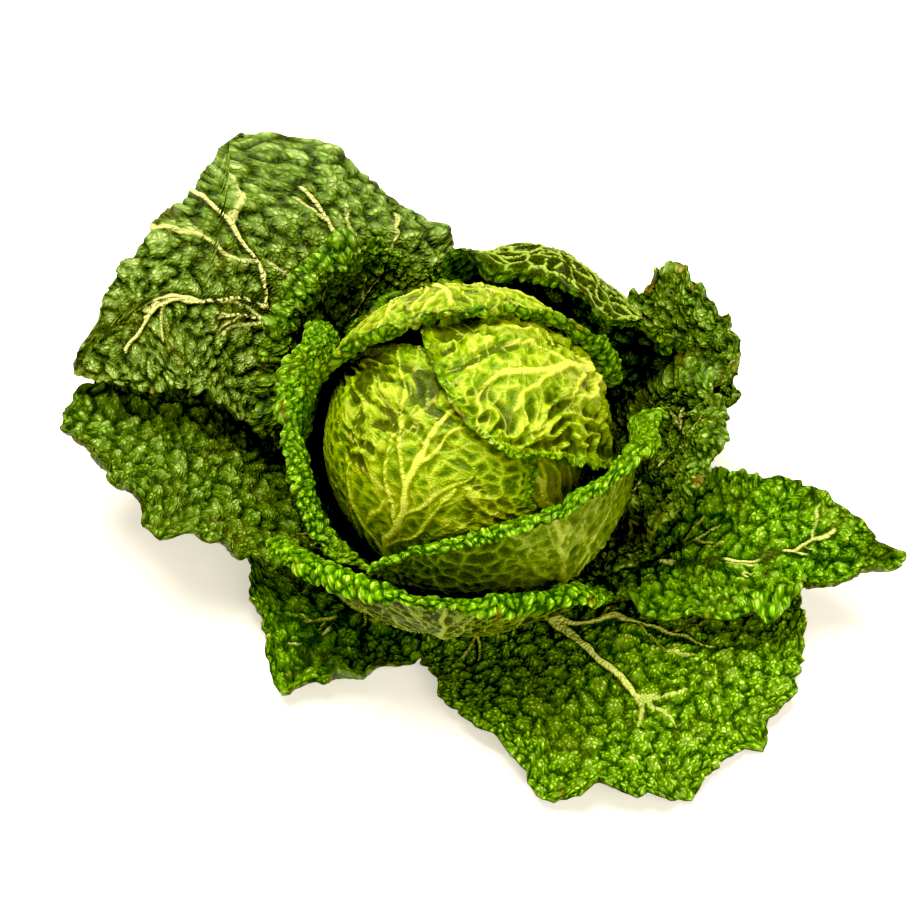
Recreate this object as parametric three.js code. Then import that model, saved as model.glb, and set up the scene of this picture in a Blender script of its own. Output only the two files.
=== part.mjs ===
// Savoy cabbage: a round head wrapped in cupped leaves, with a rosette of loose outer leaves
// splayed round it, lying on its cut stem. Millimetres, +Z up.
// The origin is the centre of the flat cut face of the stem, which is where the cabbage rests.
//
// Every leaf grows the same way. A spine (the midrib) runs from the leaf's base to its tip, and
// the blade spreads to both sides of it on a circular arc, which cups it. The blade is a disc:
// u runs across it from -1 (right) to 1 (left), v along it from -1 (base) to 1 (tip).
// Its margin is a band that rolls up towards the upper face or down towards the lower face.

import * as THREE from 'three';

// Driving dimensions
const HEAD_CENTRE = new THREE.Vector3(0, -24, 103);
const HEAD_LEAN = 23;              // degrees that the head's axis leans towards -Y
const HEART_RADIUS = 62.5;
const HEART_SECTORS = 24;
const HEART_RINGS = 14;
const STEM_RADIUS = 15;
const STEM_NECK_RADIUS = 12;
const STEM_HEIGHT = 38;
const STEM_SIDES = 24;
const LEAF_THICKNESS = 1.6;
const MARGIN_BAND = 14;            // width of the band that rolls, unless a leaf gives its own

// Where the blade's facets meet: closer together at the midrib, which stands proud
const ACROSS = [-1, -0.78, -0.5, -0.25, -0.06, 0, 0.06, 0.25, 0.5, 0.78, 1];
const ALONG_STEPS = 12;
const SPINE_STEPS = 120;

// Colours, as sRGB hexadecimal
const PALE_HEART = 0xd5dc86;
const HEAD_GREEN = 0xb4c846;
const WRAPPER_GREEN = 0x86b034;
const OUTER_GREEN = 0x4c8422;
const DARK_GREEN = 0x35681d;
const STEM_CREAM = 0xdfe2bb;

const radians = THREE.MathUtils.degToRad;
const smooth = (x) => THREE.MathUtils.smoothstep(x, 0, 1);

// Blends two, three or four values as x goes from 0 to 1
function blend(values, x) {
  const y = 1 - x;
  if (values.length === 2) {
    return values[0] * y + values[1] * x;
  }
  if (values.length === 3) {
    return values[0] * y * y + 2 * values[1] * x * y + values[2] * x * x;
  }
  return values[0] * y ** 3 + 3 * values[1] * x * y * y + 3 * values[2] * x * x * y + values[3] * x ** 3;
}

// A spine through open space, from its four control points. The blade starts level across.
function free(...controls) {
  const [start, second, third, end] = controls.map((point) => new THREE.Vector3(...point));
  const curve = new THREE.CubicBezierCurve3(start, second, third, end);
  curve.arcLengthDivisions = 4 * SPINE_STEPS;
  return {
    points: curve.getSpacedPoints(SPINE_STEPS),
    length: curve.getLength(),
    left: new THREE.Vector3(start.y - second.y, second.x - start.x, 0),
  };
}

// A spine that hugs the head: it leaves the head's underside at the angle `from` and climbs to
// the angle `to`, both measured from the bottom of the head's axis. The distance from the
// head's centre grows from `baseRadius` to `radius` over the first 60 degrees.
function hugging(azimuth, baseRadius, radius, from, to) {
  const tilt = new THREE.Matrix4().makeRotationX(radians(HEAD_LEAN));
  const points = [];
  for (let i = 0; i <= SPINE_STEPS; i += 1) {
    const angle = from + ((to - from) * i) / SPINE_STEPS;
    const reach = baseRadius + (radius - baseRadius) * smooth((angle - from) / 60);
    const out = reach * Math.sin(radians(angle));
    const point = new THREE.Vector3(
      out * Math.cos(radians(azimuth)),
      out * Math.sin(radians(azimuth)),
      -reach * Math.cos(radians(angle)),
    );
    points.push(point.applyMatrix4(tilt).add(HEAD_CENTRE));
  }
  let length = 0;
  for (let i = 1; i < points.length; i += 1) {
    length += points[i].distanceTo(points[i - 1]);
  }
  const left = new THREE.Vector3(-Math.sin(radians(azimuth)), Math.cos(radians(azimuth)), 0);
  return { points, length, radius, left: left.applyMatrix4(tilt) };
}

// A leaf on the head. Its blade follows the sphere of its radius, so its half widths, left and
// right, are given in degrees of that sphere.
function headLeaf(name, colour, spine, halfAngles, more = {}) {
  return {
    name,
    colour,
    spine,
    halfWidths: halfAngles.map((angle) => spine.radius * radians(angle)),
    cup: [[halfAngles[0], halfAngles[0]], [halfAngles[1], halfAngles[1]]],
    ...more,
  };
}

// The leaves, from the head outwards. cup holds the degrees that each half turns up through, at
// the base and at the tip; curl holds the degrees that the margin turns through on the left, at
// the tip and on the right, upwards if positive; roll twists the blade about its spine.
// tipShape and baseShape set each half's outline: 2 is elliptical, less is pointed, more is blunt.
// widest moves the widest place towards the tip, and taper widens the tip half and narrows the base.
const LEAVES = [
  headLeaf('head_leaf_inner', HEAD_GREEN, hugging(318, 66, 66, 30, 165), [56, 60]),
  headLeaf('head_leaf_left', HEAD_GREEN, hugging(238, 69, 69, 25, 190), [50, 94],
    { tipShape: [2.6, 3] }),
  headLeaf('head_leaf_right', HEAD_GREEN, hugging(22, 72, 72, 30, 185), [70, 36],
    { tipShape: [2.6, 2.6] }),
  headLeaf('head_leaf_hood', HEAD_GREEN, hugging(100, 75.5, 75.5, 26, 156), [84, 84],
    { curl: [-30, -30, -30], band: 12 }),
  headLeaf('wrapper_leaf_right', WRAPPER_GREEN, hugging(287, 78.5, 86, 26, 141), [84, 42],
    { cup: [[75, 72], [41, 41]], curl: [-90, -90, 0], tipShape: [3.4, 5] }),
  headLeaf('wrapper_leaf_left', WRAPPER_GREEN, hugging(196, 81.5, 91.5, 26, 120), [46, 64],
    { curl: [20, -80, -70], band: 16, tipShape: [2, 2.8] }),
  headLeaf('wrapper_leaf_front', WRAPPER_GREEN, hugging(265, 86.5, 100, 26, 122), [52, 60],
    { curl: [-90, -100, -80], band: 15, tipShape: [2.4, 2.2] }),
  headLeaf('wrapper_leaf_back', WRAPPER_GREEN, hugging(82, 84, 97, 26, 72), [42, 46],
    { curl: [0, -20, 20], tipShape: [2.4, 2.4] }),
  {
    name: 'outer_leaf_upright',
    colour: OUTER_GREEN,
    spine: free([16, -1, 22], [76, -2, 8], [128, -6, 60], [121, -4, 118]),
    halfWidths: [54, 60],
    cup: [[40, 55], [35, 50]],
    curl: [40, 60, 30],
    baseShape: [1.7, 1.7],
  },
  {
    name: 'outer_leaf_back',
    colour: DARK_GREEN,
    spine: free([10, 13, 17], [52, 72, 5], [78, 150, 112], [28, 42, 156]),
    halfWidths: [66, 80],
    cup: [[30, 68], [30, 50]],
    curl: [30, 50, 20],
    band: 18,
    tipShape: [2.8, 2.8],
    baseShape: [1.3, 1.3],
  },
  {
    name: 'outer_leaf_back_right',
    colour: DARK_GREEN,
    spine: free([14, 6, 12], [80, 34, 2], [142, 42, 62], [142, 32, 100]),
    halfWidths: [80, 31],
    cup: [[10, 45], [32, 36]],
    curl: [0, -30, -20],
    tipShape: [2.4, 2.4],
    baseShape: [1.2, 1.4],
  },
  {
    name: 'outer_leaf_back_left',
    colour: DARK_GREEN,
    spine: free([-12, 13, 20], [-45, 48, 10], [-94, 92, 88], [-64, 60, 138]),
    halfWidths: [66, 67],
    cup: [[40, 50], [40, 50]],
    curl: [30, 40, 30],
    tipShape: [2.4, 2.4],
    baseShape: [1.6, 1.6],
  },
  {
    name: 'outer_leaf_far_left',
    colour: DARK_GREEN,
    spine: free([-16, 7, 16], [-96, 56, 4], [-124, 84, 190], [-200, 30, 96]),
    halfWidths: [48, 114],
    cup: [[20, 10], [10, 10, 80, -270]],
    roll: [0, -30, -4],
    curl: [30, 20, -30],
    taper: 0,
    widest: 0.36,
    tipShape: [1.8, 0.48],
    baseShape: [1.6, 4],
  },
  {
    name: 'outer_leaf_left',
    colour: DARK_GREEN,
    spine: free([-17, -3, 10.5], [-80, -3, -0.5], [-130, 10, 75], [-203, 12, 80]),
    halfWidths: [68, 60],
    cup: [[10, 20], [10, 20]],
    curl: [30, 30, 30],
    baseShape: [1.7, 1.7],
  },
  {
    name: 'outer_leaf_front_left',
    colour: OUTER_GREEN,
    spine: free([-11, -13, 6.5], [-45, -50, -0.5], [-72, -78, -2], [-104, -96, 14]),
    halfWidths: [45, 60],
    cup: [[26, 28], [12, 25]],
    curl: [30, 30, 30],
    tipShape: [1.8, 1.8],
    baseShape: [1.8, 1.8],
  },
  {
    name: 'outer_leaf_right',
    colour: OUTER_GREEN,
    spine: free([14, -11, 9], [60, -50, 1], [120, -52, 56], [223, -57, 46]),
    halfWidths: [52, 32],
    cup: [[5, 20], [15, 20]],
    roll: [0, -8, 48],
    curl: [20, 20, 20],
    taper: 0.1,
    tipShape: [1.35, 1.35],
    baseShape: [1.4, 1.4],
  },
  {
    name: 'outer_leaf_floor',
    colour: OUTER_GREEN,
    spine: free([11, -14, 2], [50, -60, 1], [90, -105, 3.5], [134, -148, 0]),
    halfWidths: [96, 86],
    cup: [[5, 10], [3, 10]],
    curl: [20, 20, 20],
    taper: 0.04,
    tipShape: [3.2, 2.4],
    baseShape: [2, 2.3],
  },
];

// The directions across (left) and above the blade at each step of its spine
function spineFrames(leaf) {
  const { points } = leaf.spine;
  const count = points.length;
  const frames = [];
  let { left } = leaf.spine;
  for (let i = 0; i < count; i += 1) {
    const ahead = points[Math.min(i + 1, count - 1)];
    const behind = points[Math.max(i - 1, 0)];
    const along = ahead.clone().sub(behind).normalize();
    left = left.clone().addScaledVector(along, -left.dot(along)).normalize();
    const above = new THREE.Vector3().crossVectors(along, left);
    const roll = radians(leaf.roll ? blend(leaf.roll, i / (count - 1)) : 0);
    frames.push({
      left: left.clone().multiplyScalar(Math.cos(roll)).addScaledVector(above, Math.sin(roll)),
      above: above.multiplyScalar(Math.cos(roll)).addScaledVector(left, -Math.sin(roll)),
    });
  }
  return frames;
}

// The blade's middle surface without its rolled margin, at the disc point (u, v)
function bladePoint(leaf, frames, discU, discV) {
  const distance = Math.max(Math.hypot(discU, discV), 1e-9);
  const side = discU >= 0 ? 0 : 1;
  const power = (discV > 0 ? leaf.tipShape : leaf.baseShape)?.[side] ?? 2;
  const sum = (Math.abs(discU) / distance) ** power + (Math.abs(discV) / distance) ** power;
  const stretch = Math.max(sum, 1e-9) ** (-1 / power);
  const u = discU * stretch;
  const even = THREE.MathUtils.clamp(discV * stretch, -1, 1);
  const v = even + (leaf.widest ?? 0) * (1 - even * even);

  const place = (1 + v) / 2;
  const step = Math.min(Math.floor(place * SPINE_STEPS), SPINE_STEPS - 1);
  const part = place * SPINE_STEPS - step;
  const { points } = leaf.spine;
  const point = points[step].clone().lerp(points[step + 1], part);
  const left = frames[step].left.clone().lerp(frames[step + 1].left, part);
  const above = frames[step].above.clone().lerp(frames[step + 1].above, part);

  const swell = 1 + (leaf.taper ?? 0.12) * v;
  const turn = radians(blend(leaf.cup[side], place)) * swell;
  const reach = (leaf.halfWidths[side] * swell) / turn;
  point.addScaledVector(left, reach * Math.sin(turn * u));
  point.addScaledVector(above, reach * (1 - Math.cos(turn * u)));
  return point;
}

// The blade's middle surface with its rolled margin, at the disc point (u, v)
function leafPoint(leaf, frames, u, v) {
  const distance = Math.hypot(u, v);
  const bearing = Math.atan2(u, v);
  const across = Math.sin(bearing);
  const along = Math.cos(bearing);
  const halfWidth = leaf.halfWidths[u >= 0 ? 0 : 1];
  const size = Math.hypot(halfWidth * across, (leaf.spine.length / 2) * along);
  const bandStart = 1 - (leaf.band ?? MARGIN_BAND) / size;
  if (distance <= bandStart || !leaf.curl) {
    return bladePoint(leaf, frames, u, v);
  }

  const small = 1e-3;
  const edge = bladePoint(leaf, frames, across * bandStart, along * bandStart);
  const inner = bandStart - small;
  const outward = edge.clone().sub(bladePoint(leaf, frames, across * inner, along * inner));
  const scale = outward.length() / small;
  outward.normalize();
  const around = bladePoint(leaf, frames, Math.sin(bearing + small) * bandStart,
    Math.cos(bearing + small) * bandStart).sub(edge).normalize();
  const upper = new THREE.Vector3().crossVectors(outward, around).normalize();

  const awayFromBase = smooth(Math.PI - Math.abs(bearing));
  const towardsSide = smooth(Math.abs(bearing) / (Math.PI / 2));
  const sideCurl = leaf.curl[u >= 0 ? 0 : 2];
  const turn = radians(leaf.curl[1] * (1 - towardsSide) + sideCurl * towardsSide) * awayFromBase;
  const bend = (turn || 1e-6) / ((1 - bandStart) * scale);
  const angle = bend * (distance - bandStart) * scale;
  edge.addScaledVector(outward, Math.sin(angle) / bend);
  edge.addScaledVector(upper, (1 - Math.cos(angle)) / bend);
  return edge;
}

// The blade as a grid of points. A square grid is drawn out onto the disc.
function bladeGrid(leaf) {
  const frames = spineFrames(leaf);
  const positions = [];
  for (let j = 0; j <= ALONG_STEPS; j += 1) {
    const y = -1 + (2 * j) / ALONG_STEPS;
    for (const x of ACROSS) {
      const u = x * Math.sqrt(1 - (y * y) / 2);
      const v = y * Math.sqrt(1 - (x * x) / 2);
      positions.push(...leafPoint(leaf, frames, u, v).toArray());
    }
  }
  const indices = [];
  const columns = ACROSS.length;
  for (let j = 0; j < ALONG_STEPS; j += 1) {
    for (let i = 0; i < columns - 1; i += 1) {
      const a = j * columns + i;
      const b = a + 1;
      const c = a + columns + 1;
      const d = a + columns;
      indices.push(a, c, b, a, d, c);
    }
  }
  const grid = new THREE.BufferGeometry();
  grid.setAttribute('position', new THREE.Float32BufferAttribute(positions, 3));
  grid.setIndex(indices);
  grid.computeVertexNormals();
  return grid;
}

// The grid's outline as point numbers, in order round it
function outline(columns, rows) {
  const loop = [];
  for (let i = 0; i < columns - 1; i += 1) loop.push(i);
  for (let j = 0; j < rows - 1; j += 1) loop.push(j * columns + columns - 1);
  for (let i = columns - 1; i > 0; i -= 1) loop.push((rows - 1) * columns + i);
  for (let j = rows - 1; j > 0; j -= 1) loop.push(j * columns);
  return loop;
}

// One leaf as a closed shell of even thickness
function leafGeometry(leaf) {
  const grid = bladeGrid(leaf);
  const middle = grid.getAttribute('position');
  const normal = grid.getAttribute('normal');
  const count = middle.count;
  const positions = [];
  for (const side of [0.5, -0.5]) {
    for (let i = 0; i < count; i += 1) {
      const offset = side * LEAF_THICKNESS;
      positions.push(
        middle.getX(i) + normal.getX(i) * offset,
        middle.getY(i) + normal.getY(i) * offset,
        middle.getZ(i) + normal.getZ(i) * offset,
      );
    }
  }
  const faces = Array.from(grid.getIndex().array);
  const indices = [...faces];
  for (let k = 0; k < faces.length; k += 3) {
    indices.push(faces[k] + count, faces[k + 2] + count, faces[k + 1] + count);
  }
  const loop = outline(ACROSS.length, ALONG_STEPS + 1);
  for (let k = 0; k < loop.length; k += 1) {
    const a = loop[k];
    const b = loop[(k + 1) % loop.length];
    indices.push(a, b, b + count, a, b + count, a + count);
  }
  const shell = new THREE.BufferGeometry();
  shell.setAttribute('position', new THREE.Float32BufferAttribute(positions, 3));
  shell.setIndex(indices);
  shell.computeVertexNormals();
  return shell;
}

function makeMesh(name, geometry, colour, roughness) {
  const material = new THREE.MeshStandardMaterial({ color: colour, roughness, metalness: 0 });
  const mesh = new THREE.Mesh(geometry, material);
  mesh.name = name;
  return mesh;
}

// The tightly packed leaves at the middle of the head, one solid ball
function makeHeart() {
  const ball = new THREE.SphereGeometry(HEART_RADIUS, HEART_SECTORS, HEART_RINGS);
  const heart = makeMesh('heart', ball, PALE_HEART, 0.6);
  heart.rotation.x = Math.PI / 2 + radians(HEAD_LEAN);
  heart.position.copy(HEAD_CENTRE);
  return heart;
}

// The stem, from its flat cut face up to the underside of the heart
function makeStem() {
  const profile = [
    new THREE.Vector2(0, 0),
    new THREE.Vector2(STEM_RADIUS - 1, 0),
    new THREE.Vector2(STEM_RADIUS, 1.5),
    new THREE.Vector2(STEM_RADIUS, STEM_HEIGHT * 0.6),
    new THREE.Vector2(STEM_NECK_RADIUS, STEM_HEIGHT - 2),
    new THREE.Vector2(STEM_NECK_RADIUS - 2, STEM_HEIGHT),
    new THREE.Vector2(0, STEM_HEIGHT),
  ];
  const stem = makeMesh('cut_stem', new THREE.LatheGeometry(profile, STEM_SIDES), STEM_CREAM, 0.55);
  stem.rotation.x = Math.PI / 2;
  return stem;
}

const cabbage = new THREE.Group();
cabbage.add(makeStem());
cabbage.add(makeHeart());
for (const leaf of LEAVES) {
  cabbage.add(makeMesh(leaf.name, leafGeometry(leaf), leaf.colour, 0.5));
}

export default cabbage;
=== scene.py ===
"""A savoy cabbage lying on its cut stem: a crinkled head, four wrapper leaves and nine outer leaves.

Each leaf is grown here on the same spine as its CAD node, at a much finer step, and then gets
its veins, blisters and frilled margin as real relief. Lengths in the leaf code are millimetres.
"""

import math

import bpy
import numpy as np
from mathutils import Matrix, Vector


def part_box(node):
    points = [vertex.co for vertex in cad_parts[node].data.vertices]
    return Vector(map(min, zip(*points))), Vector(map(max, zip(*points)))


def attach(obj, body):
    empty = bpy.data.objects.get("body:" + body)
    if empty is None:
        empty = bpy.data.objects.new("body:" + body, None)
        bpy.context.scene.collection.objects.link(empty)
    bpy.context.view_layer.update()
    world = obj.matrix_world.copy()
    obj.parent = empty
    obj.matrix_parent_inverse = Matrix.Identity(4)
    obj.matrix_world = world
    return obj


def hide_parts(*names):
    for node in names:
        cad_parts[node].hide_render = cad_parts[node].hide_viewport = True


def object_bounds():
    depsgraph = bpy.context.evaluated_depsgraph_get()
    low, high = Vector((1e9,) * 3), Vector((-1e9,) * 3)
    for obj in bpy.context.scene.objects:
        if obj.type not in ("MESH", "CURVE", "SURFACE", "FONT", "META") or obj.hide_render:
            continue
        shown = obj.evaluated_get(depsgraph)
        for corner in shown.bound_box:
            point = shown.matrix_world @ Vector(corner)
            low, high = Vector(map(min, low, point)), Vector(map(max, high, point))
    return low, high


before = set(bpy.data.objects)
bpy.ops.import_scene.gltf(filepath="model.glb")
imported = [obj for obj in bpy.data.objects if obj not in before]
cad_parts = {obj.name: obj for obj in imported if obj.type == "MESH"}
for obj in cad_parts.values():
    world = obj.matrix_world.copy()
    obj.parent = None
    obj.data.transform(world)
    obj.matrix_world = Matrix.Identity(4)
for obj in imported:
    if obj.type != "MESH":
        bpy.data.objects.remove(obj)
cad_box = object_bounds()

MM = 0.001

# The head follows the heart's ball, and leans over away from the viewer
heart_low, heart_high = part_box("heart")
HEAD_CENTRE = np.round(np.array(heart_low + heart_high) / 2 / MM, 3)
HEART_RADIUS = round((heart_high.x - heart_low.x) / 2 / MM, 3)
HEAD_LEAN = 23

# The stem's outline is radius and height
stem_low, stem_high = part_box("cut_stem")
STEM_RADIUS = round((stem_high.x - stem_low.x) / 2 / MM, 3)
STEM_HEIGHT = round((stem_high.z - stem_low.z) / MM, 3)
STEM_PROFILE = [
    (0, 0), (STEM_RADIUS - 1, 0), (STEM_RADIUS, 1.5), (STEM_RADIUS, 0.6 * STEM_HEIGHT),
    (STEM_RADIUS - 3, STEM_HEIGHT - 2), (STEM_RADIUS - 5, STEM_HEIGHT), (0, STEM_HEIGHT),
]

# How finely a leaf is drawn, how thick it is and how far above the floor it stays
SPINE_STEPS = 120
FINE_STEP = 1.05
LEAF_THICKNESS = 0.9
FLOOR_GAP = 0.2

# Strengths of the all-round light and of the floor's own glow
WORLD_LIGHT = 0.3
FLOOR_GLOW = 0.46

TINY = 1e-9


def smooth(x):
    """0 below 0, 1 above 1 and a smooth step between."""
    x = np.clip(x, 0, 1)
    return x * x * (3 - 2 * x)


def blend(values, x):
    """Blends values as x goes from 0 to 1, like the control points of a curve."""
    while len(values) > 1:
        values = [a * (1 - x) + b * x for a, b in zip(values, values[1:])]
    return values[0]


def unit(vectors):
    """The same directions with a length of 1."""
    return vectors / np.maximum(np.linalg.norm(vectors, axis=1, keepdims=True), TINY)


def joined(*values):
    """Values side by side, one row for each place."""
    return np.stack(values, axis=1)


def bell(distance, width):
    """1 at a distance of 0 or less, and fading out over the width."""
    return np.exp(-np.square(np.maximum(distance, 0) / width))


def lean(points):
    """Turns points about X by the head's lean."""
    angle = math.radians(HEAD_LEAN)
    y = points[:, 1] * math.cos(angle) - points[:, 2] * math.sin(angle)
    z = points[:, 1] * math.sin(angle) + points[:, 2] * math.cos(angle)
    return joined(points[:, 0], y, z)


# A leaf's smooth form: a disc with u to the left and v to the tip, laid along a spine

FACING_WEIGHT = 12
LEAST_TURN = 1e-6


def free(*controls):
    """A spine through open space, from its four control points."""
    controls = np.array(controls, float)
    dense = np.linspace(0, 1, 4 * SPINE_STEPS + 1)[:, None]
    curve = blend(controls, dense)
    walked = np.concatenate([[0], np.cumsum(np.linalg.norm(np.diff(curve, axis=0), axis=1))])
    even = np.linspace(0, walked[-1], SPINE_STEPS + 1)
    points = joined(*[np.interp(even, walked, column) for column in curve.T])
    first = controls[1] - controls[0]
    return {"points": points, "length": walked[-1], "left": np.array([-first[1], first[0], 0])}


def hugging(azimuth, base_radius, radius, start, end):
    """A spine that hugs the head from the angle start to the angle end, from its underside."""
    angle = start + (end - start) * np.linspace(0, 1, SPINE_STEPS + 1)
    reach = base_radius + (radius - base_radius) * smooth((angle - start) / 60)
    out = reach * np.sin(np.radians(angle))
    down = reach * np.cos(np.radians(angle))
    turned = math.radians(azimuth)
    points = lean(joined(out * math.cos(turned), out * math.sin(turned), -down)) + HEAD_CENTRE
    left = lean(np.array([[-math.sin(turned), math.cos(turned), 0]]))[0]
    length = np.linalg.norm(np.diff(points, axis=0), axis=1).sum()
    return {"points": points, "length": length, "radius": radius, "left": left}


def spine_frames(leaf):
    """The directions across and above the blade at each step of its spine."""
    along = unit(np.gradient(leaf["spine"]["points"], axis=0))
    left = leaf["spine"]["left"]
    lefts, aboves = [], []
    for i, ahead in enumerate(along):
        left = left - ahead * left.dot(ahead)
        left = left / np.linalg.norm(left)
        above = np.cross(ahead, left)
        roll = math.radians(blend(leaf["roll"], i / SPINE_STEPS))
        lefts.append(left * math.cos(roll) + above * math.sin(roll))
        aboves.append(above * math.cos(roll) - left * math.sin(roll))
    return np.array(lefts), np.array(aboves)


def at_places(table, places):
    """Rows of a table along the spine at places from 0 to 1, carried on straight past its ends."""
    step = np.clip(np.floor(places * SPINE_STEPS).astype(int), 0, SPINE_STEPS - 1)
    part = (places * SPINE_STEPS - step)[:, None]
    return table[step] * (1 - part) + table[step + 1] * part


def by_side(values, u):
    """The left value where u is positive and the right value where it isn't."""
    return np.where(u >= 0, values[0], values[1])


def drawn_out(leaf, u, v):
    """The blade's own coordinates of a point of the disc: across and along the spine."""
    distance = np.maximum(np.hypot(u, v), TINY)
    power = np.where(v > 0, by_side(leaf["tip_shape"], u), by_side(leaf["base_shape"], u))
    total = (np.abs(u) / distance) ** power + (np.abs(v) / distance) ** power
    stretch = np.maximum(total, TINY) ** (-1 / power)
    even = v * stretch
    return u * stretch, even + leaf["widest"] * (1 - np.minimum(even * even, 1))


def blade_sheet(leaf, disc_u, disc_v):
    """The blade's middle surface without its rolled margin, and the directions above it."""
    u, v = drawn_out(leaf, disc_u, disc_v)
    place = (1 + v) / 2
    point = at_places(leaf["spine"]["points"], place)
    left = at_places(leaf["lefts"], place)
    above = at_places(leaf["aboves"], place)
    swell = 1 + leaf["taper"] * v
    turn = np.radians(by_side([blend(side, place) for side in leaf["cup"]], disc_u)) * swell
    reach = (by_side(leaf["half_widths"], disc_u) * swell / turn)[:, None]
    sine, cosine = np.sin(turn * u)[:, None], np.cos(turn * u)[:, None]
    return point + left * reach * sine + above * reach * (1 - cosine), above * cosine - left * sine


def disc_size(leaf, bearing):
    """Millimetres from the middle of the blade to its margin in each direction."""
    across = np.sin(bearing)
    half_width = by_side(leaf["half_widths"], across)
    return np.hypot(half_width * across, leaf["spine"]["length"] / 2 * np.cos(bearing))


def leaf_points(leaf, u, v):
    """The blade's middle surface with its rolled margin."""
    points = blade_sheet(leaf, u, v)[0]
    if not leaf["curl"]:
        return points
    distance = np.hypot(u, v)
    bearing = np.arctan2(u, v)
    start = 1 - leaf["band"] / disc_size(leaf, bearing)
    rolled = distance > start
    distance, bearing, start = distance[rolled], bearing[rolled], start[rolled]

    small = 1e-3
    across, along = np.sin(bearing), np.cos(bearing)
    edge, facing = blade_sheet(leaf, across * start, along * start)
    inner = start - small
    outward = edge - blade_sheet(leaf, across * inner, along * inner)[0]
    scale = np.linalg.norm(outward, axis=1) / small
    outward = unit(outward)
    beside = blade_sheet(leaf, np.sin(bearing + small) * start, np.cos(bearing + small) * start)[0]
    upper = unit(np.cross(outward, beside - edge) / small + FACING_WEIGHT * facing)

    away_from_base = smooth(math.pi - np.abs(bearing))
    towards_side = smooth(np.abs(bearing) / (math.pi / 2))
    side_curl = by_side([leaf["curl"][0], leaf["curl"][2]], across)
    turn = np.radians(leaf["curl"][1] * (1 - towards_side) + side_curl * towards_side) * away_from_base
    turn = np.where(np.abs(turn) < LEAST_TURN, LEAST_TURN, turn)
    bend = turn / ((1 - start) * scale)
    angle = bend * (distance - start) * scale
    sideways, upwards = (np.sin(angle) / bend)[:, None], ((1 - np.cos(angle)) / bend)[:, None]
    points[rolled] = edge + outward * sideways + upper * upwards
    return points


# Random patterns over a leaf's flat millimetres

LATTICE = 64
CELL_JITTER = 0.86
ROWS_PER_COLUMN = 1.1547


def lattice_noise(x, y, seed):
    """Smooth random values from -1 to 1, one lattice step apart."""
    table = np.random.default_rng(seed).random((LATTICE, LATTICE)) * 2 - 1
    left, low = np.floor(x).astype(int), np.floor(y).astype(int)
    across, up = x - left, y - low
    across = across**3 * (across * (across * 6 - 15) + 10)
    up = up**3 * (up * (up * 6 - 15) + 10)
    left, low = left % LATTICE, low % LATTICE
    right, high = (left + 1) % LATTICE, (low + 1) % LATTICE
    bottom = table[left, low] * (1 - across) + table[right, low] * across
    top = table[left, high] * (1 - across) + table[right, high] * across
    return bottom * (1 - up) + top * up


def layered_noise(x, y, seed, layers=3):
    """Noise with smaller and weaker noise on top of it."""
    total = 0
    for k in range(layers):
        total = total + lattice_noise(x * 2**k + 7.3 * k, y * 2**k + 3.1 * k, seed + k) * 0.5**k
    return total


def cells(x, y, size, seed):
    """Random cells about size across: the distance to the nearest border and the cell's value."""
    rng = np.random.default_rng(seed)
    jitter = (rng.random((LATTICE, LATTICE, 2)) - 0.5) * CELL_JITTER
    values = rng.random((LATTICE, LATTICE))
    px, py = x / size, y / size * ROWS_PER_COLUMN
    down, along = [steps.reshape(-1, 1) for steps in np.mgrid[-1:2, -1:3]]
    r, c = np.floor(py).astype(int) + down, np.floor(px).astype(int) + along
    own = c % LATTICE, r % LATTICE
    site_x = c + jitter[own][..., 0] + 0.5 * (r % 2) - 0.25
    site_y = r + jitter[own][..., 1] + 0.5
    nearest = np.argmin((site_x - px) ** 2 + (site_y - py) ** 2, axis=0)[None]
    near_x, near_y, value = [np.take_along_axis(t, nearest, axis=0) for t in (site_x, site_y, values[own])]
    gap_x, gap_y = site_x - near_x, site_y - near_y
    gap = np.hypot(gap_x, gap_y)
    across, up = (site_x + near_x) / 2 - px, (site_y + near_y) / 2 - py
    to_border = (across * gap_x + up * gap_y) / np.maximum(gap, TINY)
    return np.where(gap > TINY, to_border, np.inf).min(axis=0) * size, value[0]


def dome(border, radius, power):
    """Height from 0 at a border to 1 at radius inside it."""
    inside = np.clip(border / radius, 0, 1)
    return (1 - (1 - inside) ** 2) ** power


# The veins of one leaf

VEIN_STEP = 3
VEIN_WANDER = 0.07
VEIN_END = 0.15
VEIN_REACH = 14.0
MIDRIB = 9


def grow_vein(paths, rng, start, heading, length, width, turn, order):
    """Adds a vein that wanders from start and sends out branches if its order allows."""
    count = max(int(length / VEIN_STEP), 2)
    points, widths = [np.array(start, float)], [width]
    side = 1 if rng.random() < 0.5 else -1
    next_branch = length * (0.16 + 0.16 * rng.random())
    for k in range(1, count + 1):
        share = k / count
        heading += turn / count + rng.normal(0, VEIN_WANDER)
        points.append(points[-1] + VEIN_STEP * np.array([math.sin(heading), math.cos(heading)]))
        widths.append(max(width * (1 - 0.85 * share), VEIN_END))
        walked = k * VEIN_STEP
        if order > 0 and walked > next_branch and share < 0.9:
            branch_heading = heading + side * math.radians(36 + 24 * rng.random())
            branch_length = (length - walked) * (0.45 + 0.3 * rng.random()) + 7
            grow_vein(paths, rng, points[-1], branch_heading, branch_length, widths[-1] * 0.7,
                      -side * math.radians(18), order - 1)
            side = -side
            next_branch += length * (0.14 + 0.12 * rng.random())
    paths.append((np.array(points), np.array(widths), order))


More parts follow.
